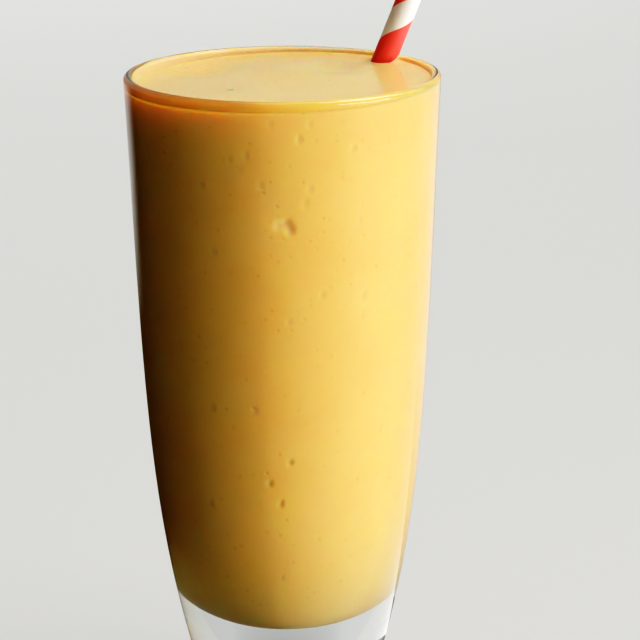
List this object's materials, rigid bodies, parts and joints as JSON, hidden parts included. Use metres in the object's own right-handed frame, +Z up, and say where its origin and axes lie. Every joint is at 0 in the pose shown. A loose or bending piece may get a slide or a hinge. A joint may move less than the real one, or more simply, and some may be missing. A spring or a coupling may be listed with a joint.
{
  "type": "mango smoothie in a glass",
  "caption": "Thick mango smoothie filled to the brim of a tall tapered glass with a heavy clear foot, with a striped paper straw leaning in it.",
  "frame": {"origin": "centre of the glass's flat underside, on the surface it stands on", "axes": "+Z up along the glass's axis, +X towards the side the straw leans to, -Y towards the viewer"},
  "size_m": [0.0976, 0.0816, 0.2272],
  "materials": {
    "clear_glass": "clear, fire-polished",
    "mango_smoothie": "opaque thick wet fruit puree",
    "striped_paper": "rolled paper with a red and white spiral stripe"
  },
  "bodies": {
    "root": {"glass": "clear_glass", "smoothie": "mango_smoothie", "straw": "striped_paper"}
  },
  "joints": []
}
